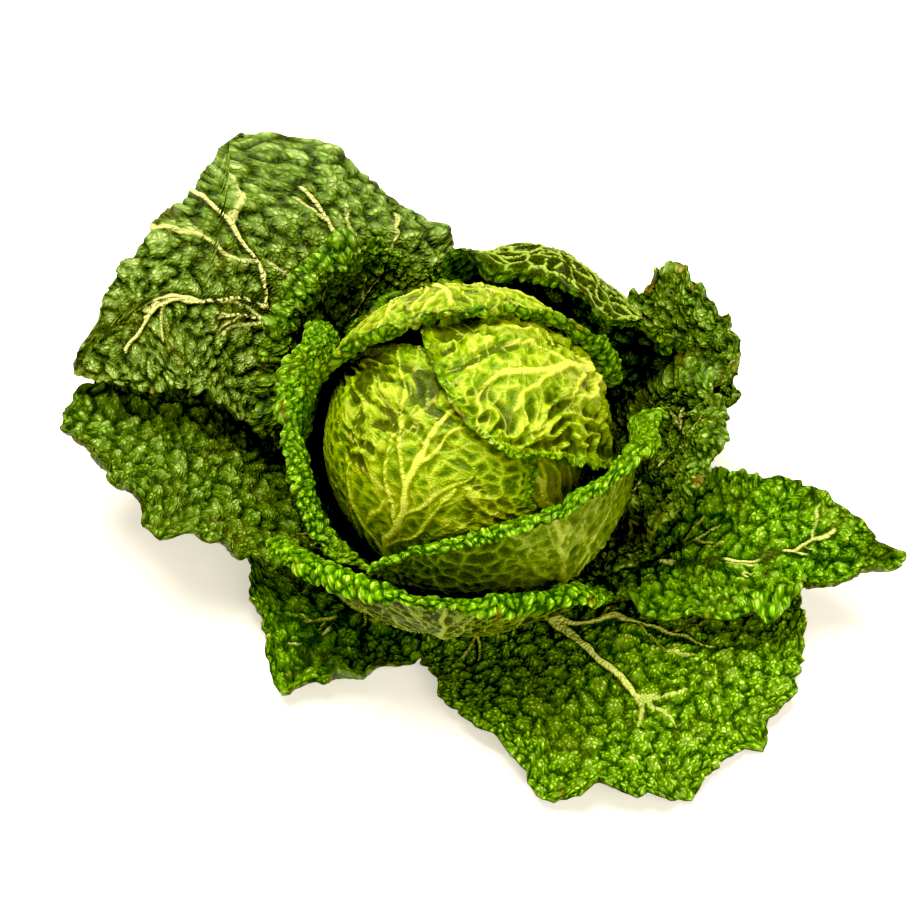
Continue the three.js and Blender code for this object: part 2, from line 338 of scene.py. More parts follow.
def leaf_veins(leaf, seed):
    """The midrib, its side veins and their branches, as paths in flat millimetres."""
    rng = np.random.default_rng(seed)
    length = leaf["spine"]["length"]
    end = leaf["rib_end"]
    order = leaf["vein_order"]
    place = np.linspace(0, end, 60)
    wander = blend(leaf["rib_offset"], place) + 1.8 * lattice_noise(place * 4, place * 0, seed + 5)
    widths = leaf["rib"] * (0.25 + 0.75 * (1 - place / end) ** 1.2)
    paths = [(joined(wander, place * length), widths, MIDRIB)]
    count = 2 * leaf["pairs"]
    for k in range(count):
        at = end * (0.08 + 0.86 * (k + 0.7 * (rng.random() - 0.5)) / count)
        side = 1 if k % 2 else -1
        out = leaf["half_widths"][0 if side > 0 else 1]
        reach = 0.8 * min(out * 1.15, math.hypot(out, length * (1 - at)) * 0.8)
        reach *= 0.75 + 0.35 * rng.random()
        heading = side * math.radians(blend(leaf["spread"], at) + rng.normal(0, 5))
        start = [float(np.interp(at, place, wander)), at * length]
        width = float(np.interp(at, place, widths)) * 0.5
        grow_vein(paths, rng, start, heading, reach, width, -side * math.radians(24), order)
    for bearing in leaf["fork"]:
        start = [float(wander[-1]), end * length]
        grow_vein(paths, rng, start, math.radians(bearing), 0.13 * length, float(widths[-1]) * 1.2, 0, 0)
    return [(points, np.maximum(widths, leaf["least_vein"]), own) for points, widths, own in paths]


def vein_distances(paths, x, y, order):
    """Millimetres outside the nearest main vein and branch, negative inside it."""
    main = np.full(x.shape, VEIN_REACH)
    fine = np.full(x.shape, VEIN_REACH)
    for points, widths, own in paths:
        into = main if own >= order else fine
        for a, b, wide_a, wide_b in zip(points[:-1], points[1:], widths[:-1], widths[1:]):
            middle = (a + b) / 2
            near = (np.abs(x - middle[0]) < VEIN_REACH) & (np.abs(y - middle[1]) < VEIN_REACH)
            if not near.any():
                continue
            dx, dy = x[near] - a[0], y[near] - a[1]
            run = b - a
            share = np.clip((dx * run[0] + dy * run[1]) / run.dot(run), 0, 1)
            away = np.hypot(dx - share * run[0], dy - share * run[1]) - blend([wide_a, wide_b], share)
            into[near] = np.minimum(into[near], away)
    return main, fine


# The relief of one leaf: the sizes, heights and reach of its patterns, in millimetres

WANDER_SIZE, WANDER = 24, 3.4
WAVE_SIZE, WAVE_INSET = 46, 12
FRILLS = [(46, 7), (19, 5), (9, 0.7)]
SCALLOPS = [(21, 3.6), (9, 2.6)]
LOBE_SIZE, LOBE_HEIGHT, LOBE_INSET = 30, 3, 2
LOBE_REACH, PUSH_REACH = 12, 5
BEAD_WIDTH = 2.2
BASE_ANGLE = 1.1


def flat_place(leaf, u, v):
    """Flat millimetres across and along the leaf."""
    blade_u, blade_v = drawn_out(leaf, u, v)
    swell = 1 + leaf["taper"] * blade_v
    return blade_u * by_side(leaf["half_widths"], u) * swell, (1 + blade_v) / 2 * leaf["spine"]["length"]


def margin_walk(leaf, bearing):
    """Millimetres along the margin from the base, for each direction."""
    round_leaf = np.linspace(-math.pi, math.pi, 721)
    x, y = flat_place(leaf, np.sin(round_leaf), np.cos(round_leaf))
    walked = np.concatenate([[0], np.cumsum(np.hypot(np.diff(x), np.diff(y)))])
    return np.interp(bearing, round_leaf, walked)


def frill(walk, inside, wavelength, amount, seed):
    """Waves that run out to the margin and fade inside it."""
    wave = lattice_noise(walk / wavelength * 2, inside / wavelength * 0.6, seed)
    return amount * wave * np.exp(-inside / (0.6 * wavelength))


def scallops(walk, size, seed):
    """Rounded bumps of various widths and heights along the margin, with sharp notches between."""
    place = walk / size + 0.3 * lattice_noise(walk / size * 0.8, 0 * walk, seed)
    own = np.random.default_rng(seed).random(LATTICE)[np.floor(place).astype(int) % LATTICE]
    within = 2 * (place - np.floor(place)) - 1
    return (1 - within * within) ** 0.6 * (0.35 + 0.65 * own)


def puckers(x, y, size, seed):
    """Domed cells: the distance to their borders, their height and each place's level in its cell."""
    border, value = cells(x, y, size, seed)
    height = dome(border, size * 0.44, 0.75) * (0.35 + 0.65 * value)
    return border, height, np.clip(border / (size * 0.36), 0, 1) * (0.7 + 0.3 * value)


def blisters(leaf, seed, x, y, rim):
    """Puckers of three sizes: their height, level, the lines between them and the knobs."""
    lump_size, knob_size = leaf["cells"]
    lump_height, knob_height = leaf["puff"]
    lump_border, lump, lump_level = puckers(x, y, lump_size, seed + 31)
    knob_border, knob, knob_level = puckers(x + 50, y, knob_size, seed + 41)
    crumb_border, _ = cells(x + 90, y, knob_size * 0.5, seed + 51)
    crumb = dome(crumb_border, knob_size * 0.2, 0.8)
    lump_share = 1 - leaf["lump_fade"] * rim
    knob_share = leaf["knobs"] + (1 - leaf["knobs"]) * rim
    height = (lump - 0.4) * lump_height * lump_share + (knob - 0.4) * knob_height * knob_share
    height = height + crumb * 0.3 * knob_share
    lump_depth, knob_depth = lump_height * lump_share, 1.3 * knob_height * knob_share
    level = (lump_level * lump_depth + knob_level * knob_depth) / (lump_depth + knob_depth)
    line = np.maximum(bell(lump_border, 0.9) * lump_share, bell(knob_border, 0.6) * leaf["knobs"])
    return height, level, line, knob


def folds(leaf, seed, x, y):
    """Long crumpled ridges, from -1 in the creases to 1 on top."""
    if not leaf["fold"]:
        return 0 * x
    across, along = leaf["fold_size"]
    ridge = 1 - np.abs(layered_noise(x / across, y / along, seed + 91, 2)) * 1.7
    cover = blend(leaf["fold_cover"], y / leaf["spine"]["length"])
    patch = smooth(0.5 + 1.6 * lattice_noise(x / 34, y / 34, seed + 95) + cover)
    return (2 * np.clip(ridge, 0, 1) ** 1.4 - 1) * patch


def margin_relief(leaf, seed, walk, inside, share, knob):
    """What only the margin has: ruffle, lobes, and the bead and push of its knobs."""
    ruffle = sum(frill(walk, inside, *wave, seed + 71 + k) for k, wave in enumerate(FRILLS))
    lobes = LOBE_HEIGHT * lattice_noise(walk / LOBE_SIZE, 0 * walk, seed + 81) - LOBE_INSET
    lobes = lobes + sum(high * scallops(walk, size, seed + 82 + k) for k, (size, high) in enumerate(SCALLOPS))
    bead = np.sqrt(np.clip(1 - np.square((inside - BEAD_WIDTH) / BEAD_WIDTH), 0, 1))
    return {
        "ruffle": ruffle * blend(leaf["frill"], share),
        "lobes": lobes * leaf["lobes"] * np.exp(-inside / LOBE_REACH),
        "bead": bead * (0.3 + 0.9 * knob) * leaf["bead"],
        "push": (knob - 0.3) * leaf["push"] * np.exp(-inside / PUSH_REACH),
    }


def leaf_relief(leaf, seed, u, v):
    """Everything that lies on the blade's smooth form, for points of the disc."""
    bearing = np.arctan2(u, v)
    size = disc_size(leaf, bearing)
    inside = np.maximum(1 - np.hypot(u, v), 0) * size
    from_base = smooth((math.pi - np.abs(bearing)) / BASE_ANGLE)
    rim = (1 - smooth(inside / leaf["edge_zone"])) * from_base
    x, y = flat_place(leaf, u, v)
    share = y / leaf["spine"]["length"]

    # Coordinates that wander, so that veins and cells aren't straight
    warp_x = x + WANDER * layered_noise(x / WANDER_SIZE, y / WANDER_SIZE, seed + 11)
    warp_y = y + WANDER * layered_noise(x / WANDER_SIZE, y / WANDER_SIZE, seed + 21)
    main, fine = vein_distances(leaf_veins(leaf, seed), warp_x, warp_y, leaf["vein_order"])

    # The puckers sink beside the veins and towards the base, and the veins lie in grooves
    pucker, level, line, knob = blisters(leaf, seed, warp_x, warp_y, rim)
    clear = (1 - 0.85 * bell(main, leaf["clear"])) * (1 - leaf["fine_clear"] * bell(fine, leaf["clear"]))
    clear = rim + (1 - rim) * clear * smooth((share - 0.02) / 0.2)
    fold = folds(leaf, seed, warp_x, warp_y) * (1 - rim)
    rib = bell(main + 0.8, 1.2) + 0.45 * bell(fine + 0.5, 0.8)
    rim_ease = 1 - 0.55 * bell(inside, 5)
    height = pucker * clear * rim_ease - leaf["groove"] * rib - 0.5 * leaf["fold"] * fold
    height = leaf["limit"] * np.tanh(height / leaf["limit"])

    wave = layered_noise(x / WAVE_SIZE, y / WAVE_SIZE, seed + 61, 2) * leaf["wave"]
    wave = wave * smooth(inside / WAVE_INSET + 0.4) * smooth(share / 0.4)
    margin = margin_relief(leaf, seed, margin_walk(leaf, bearing), inside, share, knob)
    margin = {key: values * from_base for key, values in margin.items()}

    rib_x = blend(leaf["rib_offset"], share)
    thick = leaf["rib"] * 0.75 * (1 - share) * bell(np.abs(x - rib_x), leaf["rib"] * 1.2)
    return {
        "height": height + wave + margin["ruffle"], "push": margin["push"], "lobes": margin["lobes"] / size,
        "thick": thick, "bead": margin["bead"], "level": np.clip(level * clear, 0, 1),
        "line": np.clip(line, 0, 1), "fold": fold * 0.5 + 0.5, "rim": rim, "inside": inside,
        "main": main, "fine": fine, "x": x, "y": y,
    }


# From points to a mesh

MAP_ROOM, MAP_CORNER = np.array([0.44, 0.92]), np.array([0.03, 0.04])


def leaf_grid(leaf):
    """A square grid that is finer at the margin: its coordinates and its shape."""
    spacing = FINE_STEP * leaf["spacing"]
    columns = 4 * max(round(sum(leaf["half_widths"]) * 0.94 / spacing / 4), 4)
    rows = 4 * max(round(leaf["spine"]["length"] * 0.94 / spacing / 4), 4)
    dense = leaf["dense"]
    across = np.linspace(-1, 1, columns + 1)
    across = across * (1 - dense) + np.sin(across * math.pi / 2) * dense
    share = np.linspace(0, 1, rows + 1)
    down = -1 + 2 * (share + leaf["crowd"] * share * (1 - share))
    down = down * (1 - dense) + np.sin(down * math.pi / 2) * dense
    x, y = np.meshgrid(across, down)
    return x.ravel(), y.ravel(), x.shape


def form_normals(leaf, u, v):
    """The directions above places of the blade's smooth form."""
    small = 0.01
    across = leaf_points(leaf, u + small, v) - leaf_points(leaf, u - small, v)
    along = leaf_points(leaf, u, v + small) - leaf_points(leaf, u, v - small)
    return unit(np.cross(along, across))


def lowest_near(values, shape, reach):
    """The lowest value within reach steps of each grid point."""
    net = values.reshape(shape)
    for axis in (0, 1):
        edges = [(reach, reach) if k == axis else (0, 0) for k in (0, 1)]
        padded = np.pad(net, edges, mode="edge")
        net = np.lib.stride_tricks.sliding_window_view(padded, 2 * reach + 1, axis=axis).min(axis=-1)
    return net.ravel()


def squares(numbers):
    """The four corners of each square of a grid, in order round it."""
    corners = numbers[:-1, :-1], numbers[:-1, 1:], numbers[1:, 1:], numbers[1:, :-1]
    return [corner.ravel() for corner in corners]


def grid_triangles(points, numbers):
    """The triangles of a grid of numbers, each square split at its shorter diagonal."""
    a, b, c, d = squares(numbers)
    falling = np.linalg.norm(points[a] - points[c], axis=1) < np.linalg.norm(points[b] - points[d], axis=1)
    first = np.where(falling, [a, b, c], [a, b, d])
    second = np.where(falling, [a, c, d], [b, c, d])
    return np.concatenate([first.T, second.T])


def rim_loop(numbers):
    """The numbers round a grid's outline."""
    return np.concatenate([numbers[0, :-1], numbers[:-1, -1], numbers[-1, :0:-1], numbers[:0:-1, 0]])


def rim_faces(fine, coarse):
    """Triangles that join a fine outline to a coarse one."""
    step = len(fine) // len(coarse)
    after = np.roll(fine, -1)
    first = joined(fine, np.repeat(coarse, step), after)
    second = joined(after[step - 1 :: step], coarse, np.roll(coarse, -1))
    return np.concatenate([first, second])


def new_object(name, data):
    """An object in the scene."""
    made = bpy.data.objects.new(name, data)
    bpy.context.scene.collection.objects.link(made)
    return made


def build_mesh(name, points, faces, uv, attributes):
    """A smooth mesh object from points in millimetres and triangles."""
    mesh = bpy.data.meshes.new(name)
    mesh.from_pydata((points * MM).tolist(), [], faces.tolist())
    mesh.shade_smooth()
    layer = mesh.uv_layers.new(name="OFBake")
    layer.data.foreach_set("uv", uv.astype(np.float32).ravel())
    for key, values in attributes.items():
        kind, field = ("FLOAT_VECTOR", "vector") if values.shape[1] == 3 else ("FLOAT_COLOR", "color")
        layer = mesh.attributes.new(key, kind, "POINT")
        layer.data.foreach_set(field, values.astype(np.float32).ravel())
    mesh.validate()
    return new_object(name, mesh)


def above_floor(height):
    """Lifts what would dip under the floor or come near it."""
    ease = 0.8
    return 0.5 * (height + np.sqrt(height * height + ease * ease))


def finish_piece(piece, node, look):
    """Gives the piece its material, hangs it under the root body and hides the CAD part that it stands for.
    """
    piece.data.materials.append(MATERIALS[look])
    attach(piece, "root")
    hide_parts(node)


def leaf_faces(leaf, u, v, relief, shape):
    """The points of the leaf's upper and under faces, with their relief."""
    wide = 1 + relief["lobes"]
    form = leaf_points(leaf, u * wide, v * wide)
    above = form_normals(leaf, u, v)
    outward = unit(form - leaf_points(leaf, u * wide * 0.99, v * wide * 0.99) + TINY)
    form = form + outward * relief["push"][:, None]
    form[:, 2] += leaf["lift"] * smooth(relief["y"] / 60)

    # The face that is seen least is coarser, and keeps clear of the other one
    upper_step, under_step = leaf["steps"]
    half = LEAF_THICKNESS / 2
    upper_height = relief["height"] + half + relief["bead"]
    under_height = relief["height"] - half - relief["bead"] - relief["thick"]
    clear_of_rim = smooth((relief["inside"] - 2) / 8)
    if under_step > upper_step:
        lowest = lowest_near(under_height, shape, under_step - 1)
        under_height = under_height + (lowest - under_height) * clear_of_rim
    if upper_step > under_step:
        highest = -lowest_near(-upper_height, shape, upper_step - 1)
        upper_height = upper_height + (highest - upper_height) * clear_of_rim
    upper = form + above * upper_height[:, None]
    under = form + above * under_height[:, None]
    under[:, 2] = above_floor(under[:, 2] - FLOOR_GAP) + FLOOR_GAP
    on_floor = (above[:, 2] > 0.3) & (under[:, 2] < 10)
    upper[on_floor, 2] = np.maximum(upper[on_floor, 2], under[on_floor, 2] + LEAF_THICKNESS)
    return upper, under


def make_leaf(leaf, seed):
    """Grows one leaf as a thin closed sheet with its relief."""
    leaf["lefts"], leaf["aboves"] = spine_frames(leaf)
    gx, gy, shape = leaf_grid(leaf)
    u = gx * np.sqrt(1 - gy * gy / 2)
    v = gy * np.sqrt(1 - gx * gx / 2)
    relief = leaf_relief(leaf, seed, u, v)
    upper, under = leaf_faces(leaf, u, v, relief, shape)

    grid = np.arange(gx.size).reshape(shape)
    upper_kept, under_kept = [grid[::step, ::step] for step in leaf["steps"]]
    upper_numbers = np.arange(upper_kept.size).reshape(upper_kept.shape)
    under_numbers = np.arange(under_kept.size).reshape(under_kept.shape) + upper_kept.size
    kept = np.concatenate([upper_kept.ravel(), under_kept.ravel()])
    side = np.repeat([0, 1], [upper_kept.size, under_kept.size])
    points = np.where(side[:, None] > 0, under[kept], upper[kept])
    upper_faces = grid_triangles(points, upper_numbers)[:, ::-1]
    faces = np.concatenate([upper_faces, grid_triangles(points, under_numbers)])
    upper_loop, under_loop = rim_loop(upper_numbers), rim_loop(under_numbers)
    if len(upper_loop) >= len(under_loop):
        rim = rim_faces(upper_loop, under_loop)[:, ::-1]
    else:
        rim = rim_faces(under_loop, upper_loop)

    # The map's left half is the upper face with the rim round it, and its right half is the under face
    square = joined(gx, gy)[kept]
    face_uv = (square * 0.5 + 0.5) * MAP_ROOM + MAP_CORNER + side[:, None] * np.array([0.5, 0])
    rim_uv = (square * (0.5 + 0.015 * side[:, None]) + 0.5) * MAP_ROOM + MAP_CORNER
    uv = np.concatenate([face_uv[faces.ravel()], rim_uv[rim.ravel()]])

    own = {key: values[kept] for key, values in relief.items()}
    zero = 0 * side
    attributes = {
        "detail": joined(own["level"], own["line"], own["rim"], side),
        "veins": joined(own["main"], own["fine"], own["fold"], zero + leaf["clear_veins"]),
        "flat": joined(own["x"], own["y"], 40 * side),
    }
    piece = build_mesh("savoy_" + leaf["name"], points, np.concatenate([faces, rim]), uv, attributes)
    finish_piece(piece, leaf["name"], leaf["look"])


# The leaves, as in the CAD, from the head outwards. Pairs of values are for the left and the right side,
# or for the base and the tip, and curl is in degrees at the left side, the tip and the right side.

EVERY_LEAF = dict(
    curl=None, band=14, taper=0.12, widest=0, roll=[0, 0], lift=0,
    tip_shape=[2, 2], base_shape=[2, 2],
    rib=3.2, rib_end=0.9, rib_offset=[0, 0], pairs=4, vein_order=1, spread=[62, 36],
    fork=[], clear=2, fine_clear=0, groove=-0.5, clear_veins=1, least_vein=0.45,
    fold=0, fold_size=[7, 15], fold_cover=[0, 0], limit=9, wave=4,
    edge_zone=30, lump_fade=0.5, knobs=0.8, frill=[1.1, 1.1], lobes=1, push=2.6,
    bead=1.4, dense=0.3, crowd=0, spacing=1, steps=[1, 2],
)
HEAD_LEAF = dict(
    EVERY_LEAF, slot="head_leaf", look="head", steps=[4, 1], cells=[9, 4.4],
    puff=[1.2, 2.6], frill=[0.3, 0.3], lobes=0.7, wave=0.6, edge_zone=14, knobs=0.15,
    least_vein=0.2, groove=1.6, pairs=6, vein_order=2, spread=[38, 30],
    fine_clear=0.5, crowd=0.3, push=2, limit=2.2, bead=0.5,
)
WRAPPER_LEAF = dict(
    EVERY_LEAF, slot="wrapper_leaf", look="wrapper", steps=[1, 1], cells=[9, 4.6],
    puff=[1.4, 4.2], frill=[0.5, 0.5], lobes=0.8, wave=1.2, edge_zone=34, knobs=0.1,
    least_vein=0.2, groove=1.2, pairs=6, vein_order=2, spread=[40, 30], fine_clear=0.5,
    push=1.6, dense=0.5, spacing=1.15,
)
OUTER_LEAF = dict(
    EVERY_LEAF, slot="outer_leaf", look="outer", cells=[13, 5.4], puff=[4.6, 3.4],
    rib=1.5, clear=1.8, pairs=3, clear_veins=0, groove=-2,
)


def loose_leaf(name, spine, half_widths, cup, **own):
    """An outer leaf, with its half widths in millimetres and its cupping in degrees."""
    return dict(OUTER_LEAF, name="outer_leaf_" + name, spine=spine, half_widths=half_widths, cup=cup, **own)


def round_leaf(kind, name, spine, half_angles, **own):
    """A leaf on the head. Its half widths are degrees of the sphere that it follows."""
    widths = [spine["radius"] * math.radians(angle) for angle in half_angles]
    cup = [[angle, angle] for angle in half_angles]
    return dict(kind, name=kind["slot"] + "_" + name, spine=spine, half_widths=widths, cup=cup, **own)


LEAVES = [
    round_leaf(HEAD_LEAF, "inner", hugging(318, 65, 65, 30, 165), [56, 60], spacing=1.3, frill=[0.1, 0.1]),
    round_leaf(HEAD_LEAF, "left", hugging(238, 68.5, 68.5, 25, 192), [50, 94],
        tip_shape=[2.6, 3], curl=[-20, 0, -30], band=9, fold=2.6, fold_size=[14, 6],
        fold_cover=[-3, -3, 0.5, 1], pairs=5, frill=[0.4, 0.4, 0.1, 0]),
    round_leaf(HEAD_LEAF, "right", hugging(22, 74, 74, 30, 185), [70, 36],
        tip_shape=[2.6, 2.6], curl=[-40, -20, -40], band=10, fold=5, fold_cover=[0.4, 0.7],
        edge_zone=9, limit=3, frill=[0.5, 0.3]),
    round_leaf(HEAD_LEAF, "hood", hugging(100, 77, 77, 26, 156), [84, 84],
        curl=[-110, -110, -110], band=12, fold=1.6, cells=[8, 4.6], puff=[1.8, 4],
        edge_zone=28, limit=3.6, push=1.6, steps=[1, 1], spacing=1.25, dense=0.5),
    round_leaf(WRAPPER_LEAF, "right", hugging(287, 79, 86, 26, 141), [84, 42],
        tip_shape=[3.4, 5], curl=[-140, -140, -30], band=16, rib_offset=[25, 25], edge_zone=24),
    round_leaf(WRAPPER_LEAF, "left", hugging(196, 78, 80, 26, 120), [46, 64],
        tip_shape=[2, 2.8], curl=[20, -120, -120], band=19),
    round_leaf(WRAPPER_LEAF, "front", hugging(265, 85.5, 98.5, 26, 122), [52, 60],
        tip_shape=[2.4, 2.2], curl=[-130, -140, -120], look="front", edge_zone=20),
    round_leaf(WRAPPER_LEAF, "back", hugging(82, 84, 97, 26, 72), [42, 46],
        tip_shape=[2.4, 2.4], curl=[0, -20, 20], steps=[4, 2]),
    loose_leaf("upright", free([16, -1, 22], [76, -2, 8], [128, -6, 60], [121, -4, 118]),
        [54, 60], [[40, 55], [35, 50]], curl=[-90, -110, -70], base_shape=[1.7, 1.7],
        cells=[11, 4.8], push=1.5),
    loose_leaf("back", free([10, 13, 17], [52, 72, 5], [78, 150, 112], [28, 42, 156]),
        [66, 80], [[30, 68], [30, 50]], curl=[-40, 0, -40], band=18,
        tip_shape=[2.8, 2.8], base_shape=[1.3, 1.3], look="netted_shaded", groove=1, knobs=0.15,
        cells=[10, 4.6], puff=[4.4, 3.6], edge_zone=14, steps=[1, 1], spacing=1.2),
    loose_leaf("back_right", free([14, 6, 12], [80, 34, 2], [142, 42, 62], [142, 32, 100]),
        [80, 31], [[10, 45], [32, 36]], curl=[0, -30, -20],
        tip_shape=[2.4, 2.4], base_shape=[1.2, 1.4], lobes=2),
    loose_leaf("back_left", free([-12, 13, 20], [-45, 48, 10], [-94, 92, 88], [-64, 60, 138]),
        [66, 67], [[40, 50], [40, 50]], curl=[-90, -120, -90], band=15,
        tip_shape=[2.4, 2.4], base_shape=[1.6, 1.6], look="shaded", cells=[10, 4.8]),
    loose_leaf("far_left", free([-16, 7, 16], [-96, 56, 4], [-124, 84, 190], [-200, 30, 96]),
        [48, 114], [[20, 10], [10, 10, 80, -270]], curl=[30, 20, -30], roll=[0, -30, -4],
        taper=0, widest=0.36, tip_shape=[1.8, 0.48], base_shape=[1.6, 4], look="dusky",
        cells=[12, 6.4], puff=[4, 3.6], knobs=0.7, lobes=2,
        rib_offset=[-70, 22], clear_veins=1, least_vein=0.8),
    loose_leaf("left", free([-17, -3, 10.5], [-80, -3, -0.5], [-130, 10, 75], [-203, 12, 80]),
        [68, 60], [[10, 20], [10, 20]], curl=[30, 30, 30], base_shape=[1.7, 1.7],
        cells=[12, 6], pairs=1, rib_end=0.4, lobes=1.6),
    loose_leaf("front_left", free([-11, -13, 6.5], [-45, -50, -0.5], [-72, -78, -2], [-104, -96, 14]),
        [45, 60], [[26, 28], [12, 25]], curl=[30, 30, 30], lift=3,
        tip_shape=[1.8, 1.8], base_shape=[1.8, 1.8], look="fresh", lobes=1.5),
    loose_leaf("right", free([14, -11, 9], [60, -50, 1], [120, -52, 56], [223, -57, 46]),
        [52, 32], [[5, 20], [15, 20]], curl=[20, 20, 20], roll=[0, -8, 48], taper=0.1,
        tip_shape=[1.35, 1.35], base_shape=[1.4, 1.4], look="fresh", cells=[10, 4.8],
        lobes=1.3, spacing=0.9),
    loose_leaf("floor", free([11, -14, 2], [50, -60, 1], [90, -105, 3.5], [134, -148, 0]),
        [96, 86], [[5, 10], [3, 10]], curl=[20, 20, 20], taper=0.04, lift=4,
        tip_shape=[3.2, 2.4], base_shape=[2, 2.3], look="bright", cells=[12, 4.8],
        rib=4.8, rib_end=0.7, rib_offset=[0, -8], fork=[-50, -5, 48], pairs=1, clear_veins=1,
        lobes=1.2, steps=[1, 4], spacing=0.8),
]


# The heart and the stem

AROUND = 2 * math.pi
HEART_RINGS, HEART_COLUMNS = 80, 140
STEM_RINGS, STEM_COLUMNS = 60, 120


def capped_tube(columns, rows):
    """Faces and map places of rings of points, closed by a bottom and a top point."""
    rings = np.arange(columns * rows).reshape(rows, columns)
    bottom, top = [np.full((1, columns), columns * rows + k) for k in (0, 1)]
    numbers = np.concatenate([bottom, rings, top])
    numbers = np.concatenate([numbers, numbers[:, :1]], axis=1).ravel()
    heights = np.concatenate([[-0.03], np.linspace(0, 1, rows), [1.03]])
    across, up = np.meshgrid(np.linspace(0, 1, columns + 1), heights)
    places = joined(across.ravel(), up.ravel()) * 0.9 + 0.05
    a, b, c, d = squares(np.arange(numbers.size).reshape(across.shape))
    corners = np.concatenate([joined(a, b, c), joined(a, c, d)])
    faces = numbers[corners]
    real = (faces[:, 0] != faces[:, 1]) & (faces[:, 1] != faces[:, 2])
    return faces[real], places[corners[real]].reshape(-1, 2)


def make_heart():
    """The folded inner leaves as one wrinkled ball, seen only through gaps in the head."""
    around = np.linspace(0, AROUND, HEART_COLUMNS, endpoint=False)
    rise = np.radians(np.linspace(-89, 89, HEART_RINGS))
    turn, lift = [angle.ravel() for angle in np.meshgrid(around, rise)]
    turn = np.append(turn, [0, 0])
    lift = np.append(lift, [-math.pi / 2, math.pi / 2])
    ring = np.cos(lift)
    x, y, z = ring * np.cos(turn), ring * np.sin(turn), np.sin(lift)
    crumple = layered_noise(x * 5 + 20, y * 5 + z * 3, 901, 3)
    ridge = np.clip(1 - 1.7 * np.abs(crumple), 0, 1)
    overlap = 0.5 + 0.5 * np.sin(3 * np.arctan2(y, x + 0.3) + 4 * z)
    radius = HEART_RADIUS - 2.4 + 1.6 * ridge * np.minimum(ring * 3, 1) + 0.6 * overlap * ring
    ball = joined(x, y, z) * radius[:, None]
    zero = 0 * turn
    # A low level darkens the creases between the crumpled ridges with painted shade
    attributes = {
        "detail": joined(1 - ridge, 0.4 * ridge, zero, zero + 1),
        "veins": joined(zero + 9, zero + 9, 0.5 + 0.4 * ridge, zero + 1),
        "flat": ball,
    }
    faces, uv = capped_tube(HEART_COLUMNS, HEART_RINGS)
    piece = build_mesh("savoy_heart", lean(ball) + HEAD_CENTRE, faces, uv, attributes)
    finish_piece(piece, "heart", "head")


def make_stem():
    """The cut stem: a ribbed stub with leaf scars and a flat cut face."""
    profile = np.array(STEM_PROFILE)
    walked = np.concatenate([[0], np.cumsum(np.hypot(*np.diff(profile, axis=0).T))])
    even = np.linspace(0.3, walked[-1] - 0.3, STEM_RINGS)
    radius, height = np.interp(even, walked, profile[:, 0]), np.interp(even, walked, profile[:, 1])
    around = np.linspace(0, AROUND, STEM_COLUMNS, endpoint=False)
    turn, radius = [values.ravel() for values in np.meshgrid(around, radius)]
    height = np.repeat(height, STEM_COLUMNS)
    on_side = smooth(height / 2) * smooth((STEM_HEIGHT - height) / 2)
    rib = 0.3 * np.cos(9 * turn + 0.8 * np.sin(3 * turn))
    scar = 0.35 * np.cos(0.8 * height + 1.6 * np.cos(2 * turn))
    radius = radius + (rib + scar - 0.7) * on_side
    points = joined(radius * np.cos(turn), radius * np.sin(turn), height)
    points = np.concatenate([points, [[0, 0, 0], [0, 0, STEM_HEIGHT]]])
    faces, uv = capped_tube(STEM_COLUMNS, STEM_RINGS)
    piece = build_mesh("savoy_cut_stem", points, faces, uv, {"flat": points})
    finish_piece(piece, "cut_stem", "stem")


# Materials. Colours are screen values from 0 to 255.

BUMP_DEPTH = 0.0008
GLOW_RADIUS = (0.5, 1, 0.15)
GLOW_SCALE = 0.0015
BROWNED = (150, 118, 48)
STEM_FIBRES = [(0.25, (150, 156, 92)), (0.55, (214, 216, 164)), (0.8, (236, 236, 200))]
STEM_BLOTCH, STEM_RING = (176, 150, 92), (150, 160, 84)

# Pit, middle and top colours of the upper and the under face, and what lies over them. Dark pits are painted
# shade and light tops partly painted light, and the shade colour is painted shade laid at the base, in
# creases and beside the veins
SKIN = dict(
    upper_veins=1, net_share=0.5, beside=0.3, painted_base_shade=0, painted_shade_until=90,
    rim_share=0.3, crumb=0.6, roughness=0.44, bump=0.8, shine=0.22,
)
LOOKS = {
    "head": dict(
        SKIN, upper=[(30, 76, 0), (104, 156, 12), (176, 216, 56)],
        under=[(56, 86, 0), (112, 148, 5), (156, 176, 26)],
        painted_shade=(24, 38, 0), warm=(160, 146, 24), vein=(208, 214, 82), net=(178, 190, 54),
        rim=(110, 168, 14), rim_share=0.6, beside=0.5, crumb=0.45, roughness=0.46, bump=0.6,
    ),
    "wrapper": dict(
        SKIN, upper=[(24, 70, 2), (116, 176, 16), (204, 242, 76)],
        under=[(30, 58, 0), (74, 106, 6), (118, 148, 24)],
        painted_shade=(12, 34, 0), warm=(116, 128, 20), vein=(186, 200, 78), net=(150, 174, 54),
        rim=(136, 198, 26), upper_veins=0, painted_base_shade=0.95, painted_shade_until=135, shine=0.2,
    ),
    "outer": dict(
        SKIN, upper=[(24, 50, 6), (100, 142, 32), (190, 216, 106)],
        under=[(24, 46, 4), (70, 102, 20), (122, 154, 50)],
        painted_shade=(14, 30, 2), warm=(140, 146, 50), vein=(240, 238, 140), net=(156, 176, 70),
        rim=(122, 166, 44), rim_share=0.25, net_share=0.6, beside=0.15, painted_base_shade=0.5, bump=0.9,
    ),
}
LOOKS["fresh"] = dict(
    LOOKS["outer"], upper=[(24, 70, 2), (122, 184, 24), (208, 248, 88)], painted_base_shade=0,
    painted_shade=(14, 44, 0), rim=(138, 198, 40), vein=(244, 250, 128),
)
LOOKS["bright"] = dict(LOOKS["fresh"], upper=[(26, 74, 2), (144, 202, 34), (220, 252, 108)], crumb=0.7)
